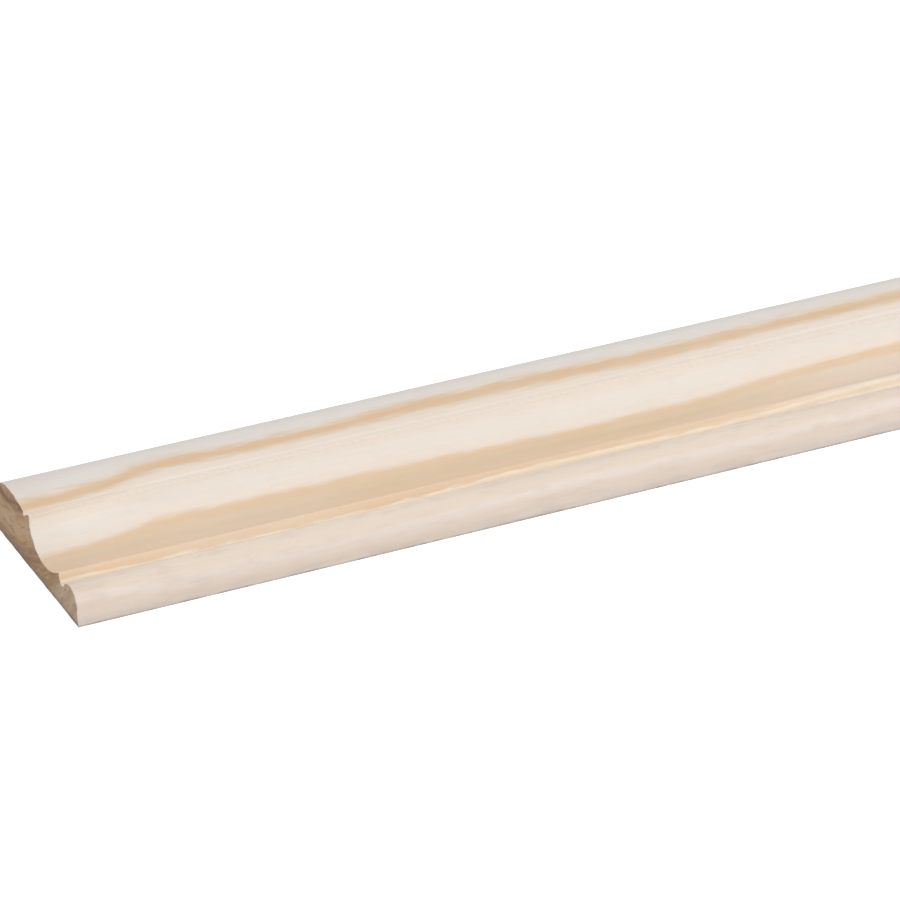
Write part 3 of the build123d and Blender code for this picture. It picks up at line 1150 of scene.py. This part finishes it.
def sawn_pine(rings_tree, fibre_tree, edge_tree):
    """The cross-cut end: darker, rough, with the rings cut across and torn fibres."""
    material, sheet, shader, place = new_material("sawn_pine")
    rings = group_use(sheet, rings_tree, Place=place)
    fibre = group_use(
        sheet, fibre_tree, Place=place, Fibres_per_mm=3.2, Fibre_Stretch=1.0, Duct_Share=0.5
    )
    edges = group_use(
        sheet, edge_tree, Place=place, Reach_mm=1.8, Foot_mm=1.3, Strength=0.75
    )
    place_mm = in_millimetres(sheet, place)
    marks = saw_marks(sheet, place_mm)
    torn = torn_fibres(sheet, place_mm)

    lined = sheet.spread(rings["Lines"], *LINE_RANGE, *SAWN_LINED)
    colour = sheet.layered(
        sheet.shades(rings["Radius"], SAWN_WOOD),
        (sheet.times(rings["Darkness"], lined), SAWN_LATE),
        (sheet.times(rings["Amber"], lined, RESIN_SHARE), SAWN_DARK),
        (sheet.spread(marks, 0.35, 0.70, 0.0, MARK_SHARE), SAWN_DARK),
        (sheet.ramp(fibre["Fibre"], 0.55, 0.80, 0.0, FUZZ_SHARE), SAWN_FUZZ),
        (sheet.ramp(fibre["Fibre"], 0.22, 0.40, PORE_SHARE, 0.0), SAWN_DARK),
        (sheet.ramp(torn, 0.50, 0.72, 0.0, TORN_SHARE), SAWN_FUZZ),
        (sheet.ramp(torn, 0.30, 0.50, TORN_SHARE, 0.0), SAWN_DARK),
        # painted shade, darker towards the foot
        (edges["Lower Shade"], EDGE_SHADE),
        (edges["Foot"], FOOT_SHADE),
    )
    sheet.feed(shader["Base Color"], colour)
    roughness = sheet.spread(fibre["Fibre"], *NOISE_RANGE, *SAWN_ROUGHNESS)
    sheet.feed(shader["Roughness"], roughness)

    height = sheet.plus(sheet.times(fibre["Fibre"], 0.7), sheet.times(marks, 0.5))
    roughen(sheet, shader, height, SAWN_BUMP, SAWN_BUMP_DEPTH)
    return material


# The studio: a white floor, a soft light from the front and the camera

LOOK_ALONG = Vector((0.3799, 0.7844, -0.4904))
CAMERA_PLACE = Vector((-0.8291, -0.8780, 0.5564))
CAMERA_ROLL = math.radians(0.19)
CAMERA_LENS = 207.2
CAMERA_SENSOR = 36.0

FLOOR_SIZE = 30.0
FLOOR_DROP = 0.02 * MM
FLOOR_PALE = (0.60, 0.60, 0.61, 1.0)
FLOOR_GLOW = 0.78

SKY_COLOUR = (0.965, 0.985, 1.03, 1.0)
SKY_STRENGTH = 0.665
KEY_TOWARD = Vector((0.10, -0.77, 0.64))
KEY_DISTANCE = 2.4
KEY_SIZE = 1.4
KEY_POWER = 25.4
KEY_COLOUR = (1.0, 0.965, 0.92)


def aim(thing, direction, roll=0.0):
    """Turns a lamp or a camera to look in a direction, rolled by an angle in radians."""
    thing.rotation_mode = "QUATERNION"
    level = direction.to_track_quat("-Z", "Y")
    thing.rotation_quaternion = level @ Quaternion((0.0, 0.0, 1.0), roll)


def seen_directly(sheet):
    """1 for rays that show the stage itself: from the camera, a reflection or glass."""
    rays = sheet.add("ShaderNodeLightPath").outputs
    seen = sheet.math("MAXIMUM", rays["Is Camera Ray"], rays["Is Glossy Ray"])
    return sheet.math("MAXIMUM", seen, rays["Is Transmission Ray"])


def studio_floor():
    """A white floor that keeps the strip's shadow and melts into the white behind it."""
    half = FLOOR_SIZE / 2
    mesh = bpy.data.meshes.new("studio_floor")
    corners = [(-half, -half), (half, -half), (half, half), (-half, half)]
    mesh.from_pydata([(x, y, -FLOOR_DROP) for x, y in corners], [], [(0, 1, 2, 3)])
    floor = in_scene("studio_floor", mesh)
    material = bpy.data.materials.new("studio_floor")
    sheet = blank_sheet(material)
    paint = sheet.add("ShaderNodeBsdfDiffuse", {"Color": FLOOR_PALE}).outputs[0]
    strength = sheet.times(seen_directly(sheet), FLOOR_GLOW)
    glow = sheet.add("ShaderNodeEmission", {"Strength": strength}).outputs[0]
    both = sheet.add("ShaderNodeAddShader", {0: paint, 1: glow}).outputs[0]
    sheet.add("ShaderNodeOutputMaterial", {"Surface": both})
    mesh.materials.append(material)


def studio_world():
    """Even daylight on the strip, and plain white where the camera sees past the floor."""
    world = bpy.data.worlds.new("studio")
    sheet = blank_sheet(world)
    light = {"Color": SKY_COLOUR, "Strength": SKY_STRENGTH}
    white = {"Color": (1.0, 1.0, 1.0, 1.0), "Strength": 1.0}
    sky = sheet.add("ShaderNodeBackground", light).outputs[0]
    backdrop = sheet.add("ShaderNodeBackground", white).outputs[0]
    both = sheet.add("ShaderNodeMixShader", {0: seen_directly(sheet), 1: sky, 2: backdrop})
    sheet.add("ShaderNodeOutputWorld", {"Surface": both.outputs[0]})
    bpy.context.scene.world = world


def key_light():
    """A large soft light in front of the strip, over its thin edge."""
    lamp = bpy.data.lights.new("key", "AREA")
    lamp.shape = "SQUARE"
    lamp.size = KEY_SIZE
    lamp.energy = KEY_POWER
    lamp.color = KEY_COLOUR
    light = in_scene("key", lamp)
    toward = KEY_TOWARD.normalized()
    light.location = toward * KEY_DISTANCE
    aim(light, -toward)


def camera():
    """A long lens that looks down along the strip from the left, at its sawn end."""
    lens = bpy.data.cameras.new("camera")
    lens.lens = CAMERA_LENS
    lens.sensor_width = CAMERA_SENSOR
    eye = in_scene("camera", lens)
    eye.location = CAMERA_PLACE
    aim(eye, LOOK_ALONG, CAMERA_ROLL)
    bpy.context.scene.camera = eye


camera()
studio_world()
studio_floor()
key_light()
bpy.context.scene.view_settings.view_transform = "Standard"

ring_tree = growth_ring_group()
fibre_tree = wood_fibre_group()
edge_tree = painted_foot_shade_group()
planed = planed_pine(ring_tree, fibre_tree, edge_tree)
sawn = sawn_pine(ring_tree, fibre_tree, edge_tree)
strip = moulding(planed, sawn)
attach(strip, "root")
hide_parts("moulding_strip")
